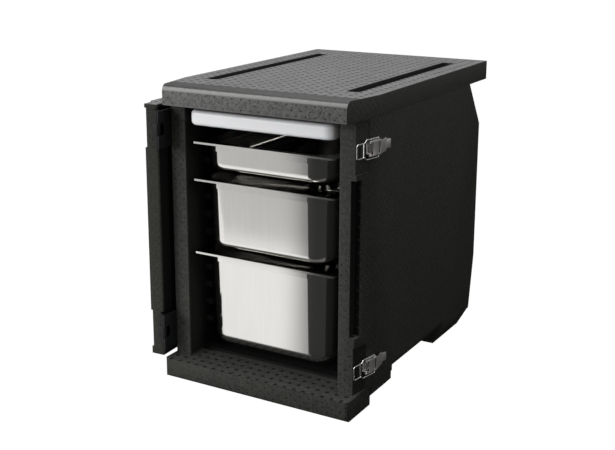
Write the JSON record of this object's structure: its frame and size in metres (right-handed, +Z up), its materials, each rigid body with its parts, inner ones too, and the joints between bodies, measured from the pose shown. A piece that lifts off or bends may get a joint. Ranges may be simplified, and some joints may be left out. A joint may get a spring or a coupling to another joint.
{
  "type": "insulated food carrier",
  "caption": "Front-loading insulated food carrier of black moulded foam with a side-hung door, draw latches, runners, sliding steel food pans and a white cold plate.",
  "frame": {"origin": "on the floor plane, middle of the width, at the front face of the side walls, on the underside of the ledge", "axes": "+X to the carrier's right seen from the front, +Y to the back, +Z up"},
  "size_m": [0.5072, 0.6605, 0.6155],
  "materials": {
    "shell_foam": "moulded expanded polypropylene foam, fine bead grain",
    "cover_foam": "moulded expanded polypropylene foam, fine bead grain",
    "door_foam": "moulded expanded polypropylene foam, fine bead grain",
    "hinge_steel": "black coated",
    "dark_steel": "blackened",
    "bright_steel": "bright wire",
    "satin_steel": "satin stainless",
    "pan_steel": "satin stainless, bright rim",
    "plate_plastic": "smooth white",
    "cap_plastic": "smooth white"
  },
  "bodies": {
    "carrier": {"body_shell": "shell_foam", "top_cover": "cover_foam", "upper_hinge_body_leaf": "hinge_steel", "lower_hinge_body_leaf": "hinge_steel", "upper_hinge_pin": "dark_steel", "lower_hinge_pin": "dark_steel", "hinge_body_screws": "dark_steel", "upper_latch_base": "satin_steel", "lower_latch_base": "satin_steel", "upper_latch_pin": "bright_steel", "lower_latch_pin": "bright_steel", "latch_rivets": "satin_steel"},
    "door": {"door_panel": "door_foam", "upper_hinge_door_leaf": "hinge_steel", "lower_hinge_door_leaf": "hinge_steel", "hinge_door_screws": "dark_steel", "upper_latch_keeper": "satin_steel", "lower_latch_keeper": "satin_steel", "keeper_rivets": "satin_steel"},
    "upper_lever": {"upper_latch_lever": "satin_steel"},
    "lower_lever": {"lower_latch_lever": "satin_steel"},
    "upper_bail": {"upper_latch_bail": "bright_steel"},
    "lower_bail": {"lower_latch_bail": "bright_steel"},
    "shallow_pan": {"shallow_pan": "pan_steel"},
    "medium_pan": {"medium_pan": "pan_steel"},
    "deep_pan": {"deep_pan": "pan_steel"},
    "cold_plate": {"cold_plate": "plate_plastic", "cold_plate_cap": "cap_plastic"}
  },
  "joints": [
    {"name": "door_hinge", "type": "hinge", "parent": "carrier", "child": "door", "pos_m": [-0.213, -0.037, 0.312], "axis": [0, 0, 1], "range_deg": [0, 267]},
    {"name": "upper_lever_pivot", "type": "hinge", "parent": "carrier", "child": "upper_lever", "pos_m": [0.21893, 0.0317, 0.521], "axis": [0, 0, -1], "range_deg": [0, 150]},
    {"name": "upper_bail_pivot", "type": "hinge", "parent": "upper_lever", "child": "upper_bail", "pos_m": [0.22589, 0.05487, 0.521], "axis": [0, 0, 1], "range_deg": [0, 180]},
    {"name": "lower_lever_pivot", "type": "hinge", "parent": "carrier", "child": "lower_lever", "pos_m": [0.21893, 0.0317, 0.092], "axis": [0, 0, -1], "range_deg": [0, 150]},
    {"name": "lower_bail_pivot", "type": "hinge", "parent": "lower_lever", "child": "lower_bail", "pos_m": [0.22589, 0.05487, 0.092], "axis": [0, 0, 1], "range_deg": [0, 180]},
    {"name": "shallow_pan_slide", "type": "slide", "parent": "carrier", "child": "shallow_pan", "axis": [0, 1, 0], "range_m": [-0.26, 0.04]},
    {"name": "medium_pan_slide", "type": "slide", "parent": "carrier", "child": "medium_pan", "axis": [0, 1, 0], "range_m": [-0.26, 0.04]},
    {"name": "deep_pan_slide", "type": "slide", "parent": "carrier", "child": "deep_pan", "axis": [0, 1, 0], "range_m": [-0.26, 0.04]},
    {"name": "cold_plate_slide", "type": "slide", "parent": "carrier", "child": "cold_plate", "axis": [0, 1, 0], "range_m": [-0.26, 0.04]}
  ],
  "couplings": [
    {"joint": "upper_bail_pivot", "follows": "upper_lever_pivot", "ratio": 1.2},
    {"joint": "lower_bail_pivot", "follows": "lower_lever_pivot", "ratio": 1.2}
  ]
}
